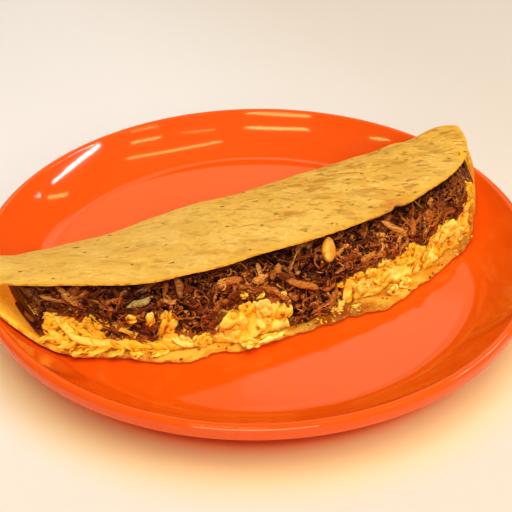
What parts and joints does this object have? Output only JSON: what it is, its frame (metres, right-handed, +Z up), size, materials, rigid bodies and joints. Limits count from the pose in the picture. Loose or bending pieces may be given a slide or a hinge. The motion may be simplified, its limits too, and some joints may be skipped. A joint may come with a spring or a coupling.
{
  "type": "plate of quesadilla",
  "caption": "Long oval corn tortilla folded over white cheese and saucy shredded meat, open at the front, on a round plate with a sloping wall.",
  "frame": {"origin": "centre of the plate on the table", "axes": "+X along the tortilla's fold, +Y towards the fold at the back, the open mouth faces -Y, +Z up"},
  "size_m": [0.2738, 0.26, 0.0397],
  "materials": {
    "orange_glaze": "gloss",
    "corn_tortilla": "matte",
    "stewed_meat": "wet gloss",
    "white_cheese": "satin",
    "yellow_kernel": "satin"
  },
  "bodies": {
    "root": {"plate": "orange_glaze", "tortilla": "corn_tortilla", "shredded_meat": "stewed_meat", "cheese": "white_cheese", "kernel": "yellow_kernel"}
  },
  "joints": []
}
